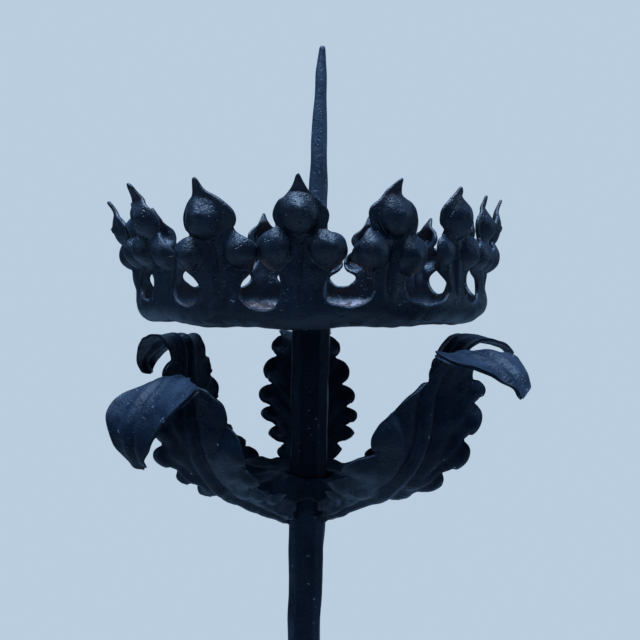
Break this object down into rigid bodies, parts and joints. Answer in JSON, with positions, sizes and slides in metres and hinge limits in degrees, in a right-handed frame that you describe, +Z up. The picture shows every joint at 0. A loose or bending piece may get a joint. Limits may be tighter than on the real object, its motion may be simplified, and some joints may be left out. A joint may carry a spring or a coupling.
{
  "type": "pricket candle stand",
  "caption": "Floor-standing forged pricket candle stand with a crown drip pan of trefoils, a whorl of acanthus leaves, a bar and bent legs.",
  "frame": {"origin": "on the bar's axis at floor level", "axes": "+Z up the bar, -Y to the front, where one trefoil faces the viewer and two leaves part; +X to the viewer's right"},
  "size_m": [0.326, 0.326, 1.1165],
  "materials": {
    "painted_iron": "worn satin blue-black paint on hammered iron",
    "pan_iron": "worn satin blue-black paint, rust and wax stains on the pan's floor",
    "spike_iron": "worn satin paint, rubbed and browned by candles"
  },
  "bodies": {
    "root": {"pricket_spike": "spike_iron", "spike_washer": "pan_iron", "crown_pan": "pan_iron", "upper_shaft": "painted_iron", "leaf_hub": "painted_iron", "leaf_1": "painted_iron", "leaf_2": "painted_iron", "leaf_3": "painted_iron", "leaf_4": "painted_iron", "leaf_5": "painted_iron", "lower_shaft": "painted_iron", "leg_1": "painted_iron", "leg_2": "painted_iron", "leg_3": "painted_iron", "leg_4": "painted_iron", "leg_collar_upper": "painted_iron", "leg_collar_lower": "painted_iron", "leg_rivets": "painted_iron"}
  },
  "joints": []
}
